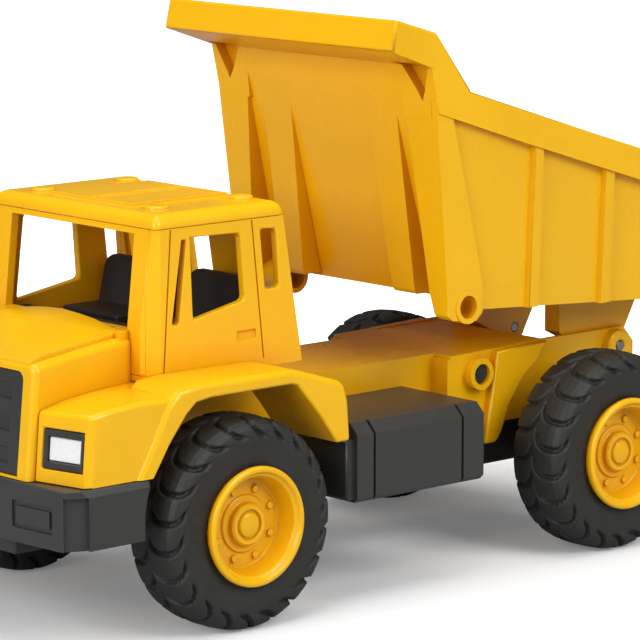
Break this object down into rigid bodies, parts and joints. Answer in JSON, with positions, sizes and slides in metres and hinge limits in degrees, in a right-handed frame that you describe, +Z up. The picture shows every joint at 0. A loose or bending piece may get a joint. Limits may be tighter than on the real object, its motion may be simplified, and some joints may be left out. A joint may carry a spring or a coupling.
{
  "type": "toy dump truck",
  "caption": "Moulded toy dump truck with an open cab, turning wheels and a tipping load bed with a canopy over the cab.",
  "frame": {"origin": "centre of the bounding box on the floor under the tyres", "axes": "+X to the front of the truck, +Y to its left side, +Z up"},
  "size_m": [0.426, 0.19, 0.2614],
  "materials": {
    "yellow_plastic": "satin moulded plastic",
    "dark_plastic": "satin moulded plastic",
    "black_plastic": "matt moulded plastic",
    "tyre": "matt soft plastic",
    "steel": "drawn rod",
    "lamp_silver": "silvered plastic"
  },
  "bodies": {
    "truck": {"axle_carrier_front": "dark_plastic", "axle_carrier_rear": "dark_plastic", "axle_front": "steel", "axle_rear": "steel", "boss_plug_left": "dark_plastic", "boss_plug_right": "dark_plastic", "bumper": "dark_plastic", "cab_floor": "yellow_plastic", "cab_interior": "black_plastic", "cab_rear_wall": "yellow_plastic", "cab_roof": "yellow_plastic", "cab_side_left": "yellow_plastic", "cab_side_right": "yellow_plastic", "cab_windscreen_frame": "yellow_plastic", "fender_left": "yellow_plastic", "fender_right": "yellow_plastic", "frame": "yellow_plastic", "grille": "dark_plastic", "headlamp_bezel_left": "dark_plastic", "headlamp_bezel_right": "dark_plastic", "headlamp_lens_left": "lamp_silver", "headlamp_lens_right": "lamp_silver", "hinge_pin": "steel", "hood": "yellow_plastic", "seat_left": "black_plastic", "seat_right": "black_plastic", "tool_box_left": "dark_plastic", "tool_box_right": "dark_plastic", "underframe": "dark_plastic"},
    "bed": {"bed": "yellow_plastic"},
    "wheel_front_left": {"tyre_front_left": "tyre", "rim_front_left": "yellow_plastic"},
    "wheel_front_right": {"tyre_front_right": "tyre", "rim_front_right": "yellow_plastic"},
    "wheel_rear_left": {"tyre_rear_left": "tyre", "rim_rear_left": "yellow_plastic"},
    "wheel_rear_right": {"tyre_rear_right": "tyre", "rim_rear_right": "yellow_plastic"}
  },
  "joints": [
    {"name": "wheel_front_left_spin", "type": "hinge", "parent": "truck", "child": "wheel_front_left", "pos_m": [0.112, 0.0754, 0.0475], "axis": [0, 1, 0], "continuous": true},
    {"name": "wheel_front_right_spin", "type": "hinge", "parent": "truck", "child": "wheel_front_right", "pos_m": [0.112, -0.0754, 0.0475], "axis": [0, 1, 0], "continuous": true},
    {"name": "wheel_rear_left_spin", "type": "hinge", "parent": "truck", "child": "wheel_rear_left", "pos_m": [-0.1224, 0.0754, 0.0475], "axis": [0, 1, 0], "continuous": true},
    {"name": "wheel_rear_right_spin", "type": "hinge", "parent": "truck", "child": "wheel_rear_right", "pos_m": [-0.1224, -0.0754, 0.0475], "axis": [0, 1, 0], "continuous": true},
    {"name": "bed_tip", "type": "hinge", "parent": "truck", "child": "bed", "pos_m": [-0.166, 0, 0.088], "axis": [0, -1, 0], "range_deg": [-12.5, 33]}
  ]
}
